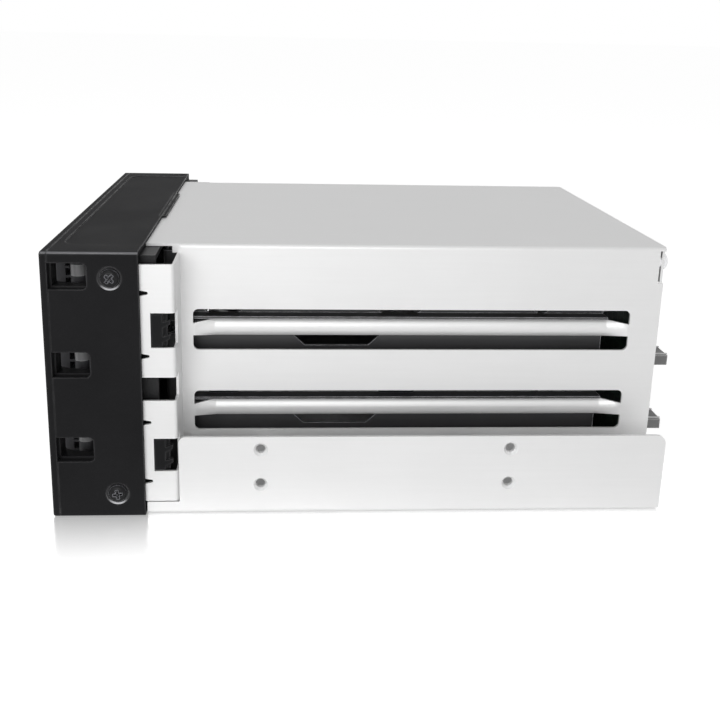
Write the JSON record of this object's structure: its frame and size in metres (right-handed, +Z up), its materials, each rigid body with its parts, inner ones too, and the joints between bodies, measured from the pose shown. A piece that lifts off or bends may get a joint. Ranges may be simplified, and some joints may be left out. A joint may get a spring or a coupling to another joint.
{
  "type": "hot swap drive cage",
  "caption": "Steel drive cage with a black bezel, sliding drive trays with hinged levers and release buttons, and a rear connector board.",
  "frame": {"origin": "middle of the underside, halfway between the bezel's front and the base's rear edge", "axes": "+X to the side with the lever hinges, -Y out of the front where the trays slide out, +Z up"},
  "size_m": [0.1506, 0.207, 0.0856],
  "materials": {
    "zinc_steel": "satin",
    "tray_steel": "black coated",
    "bright_steel": "satin",
    "black_plastic": "fine texture",
    "lever_plastic": "fine texture",
    "button_plastic": "satin",
    "black_screw": "black plated",
    "circuit_board": "solder mask",
    "grey_connector": "satin",
    "dark_connector": "satin",
    "clear_guide": "clear moulded"
  },
  "bodies": {
    "root": {"cage_shell": "zinc_steel", "base_tray": "zinc_steel", "bezel_sleeve": "black_plastic", "front_frame": "black_plastic", "backplane_board": "circuit_board", "board_spacers": "bright_steel", "bezel_screws": "black_screw", "rear_screws": "bright_steel", "base_rivets": "bright_steel", "drive_socket_lower": "dark_connector", "data_plug_lower": "dark_connector", "drive_socket_middle": "dark_connector", "data_plug_middle": "dark_connector", "drive_socket_upper": "dark_connector", "data_plug_upper": "dark_connector", "power_plug_lower": "grey_connector", "power_plug_upper": "grey_connector"},
    "tray_lower": {"tray_frame_lower": "tray_steel", "tray_front_lower": "black_plastic", "lever_pin_lower": "bright_steel", "lever_spring_lower": "bright_steel", "light_pipes_lower": "clear_guide", "tray_screws_lower": "bright_steel"},
    "lever_lower": {"tray_lever_lower": "lever_plastic"},
    "button_lower": {"release_button_lower": "button_plastic", "button_spring_lower": "bright_steel"},
    "tray_middle": {"tray_frame_middle": "tray_steel", "tray_front_middle": "black_plastic", "lever_pin_middle": "bright_steel", "lever_spring_middle": "bright_steel", "light_pipes_middle": "clear_guide", "tray_screws_middle": "bright_steel"},
    "lever_middle": {"tray_lever_middle": "lever_plastic"},
    "button_middle": {"release_button_middle": "button_plastic", "button_spring_middle": "bright_steel"},
    "tray_upper": {"tray_frame_upper": "tray_steel", "tray_front_upper": "black_plastic", "lever_pin_upper": "bright_steel", "lever_spring_upper": "bright_steel", "light_pipes_upper": "clear_guide", "tray_screws_upper": "bright_steel"},
    "lever_upper": {"tray_lever_upper": "lever_plastic"},
    "button_upper": {"release_button_upper": "button_plastic", "button_spring_upper": "bright_steel"}
  },
  "joints": [
    {"name": "tray_lower_slide", "type": "slide", "parent": "root", "child": "tray_lower", "axis": [0, -1, 0], "range_m": [0, 0.175]},
    {"name": "lever_lower_hinge", "type": "hinge", "parent": "tray_lower", "child": "lever_lower", "pos_m": [0.06, -0.0889, 0.0151], "axis": [0, 0, 1], "range_deg": [0, 60]},
    {"name": "button_lower_press", "type": "slide", "parent": "tray_lower", "child": "button_lower", "axis": [0, 1, 0], "range_m": [0, 0.002], "stiffness_N_per_m": 400},
    {"name": "tray_middle_slide", "type": "slide", "parent": "root", "child": "tray_middle", "axis": [0, -1, 0], "range_m": [0, 0.175]},
    {"name": "lever_middle_hinge", "type": "hinge", "parent": "tray_middle", "child": "lever_middle", "pos_m": [0.06, -0.0889, 0.0427], "axis": [0, 0, 1], "range_deg": [0, 60]},
    {"name": "button_middle_press", "type": "slide", "parent": "tray_middle", "child": "button_middle", "axis": [0, 1, 0], "range_m": [0, 0.002], "stiffness_N_per_m": 400},
    {"name": "tray_upper_slide", "type": "slide", "parent": "root", "child": "tray_upper", "axis": [0, -1, 0], "range_m": [0, 0.175]},
    {"name": "lever_upper_hinge", "type": "hinge", "parent": "tray_upper", "child": "lever_upper", "pos_m": [0.06, -0.0889, 0.0703], "axis": [0, 0, 1], "range_deg": [0, 60]},
    {"name": "button_upper_press", "type": "slide", "parent": "tray_upper", "child": "button_upper", "axis": [0, 1, 0], "range_m": [0, 0.002], "stiffness_N_per_m": 400}
  ]
}
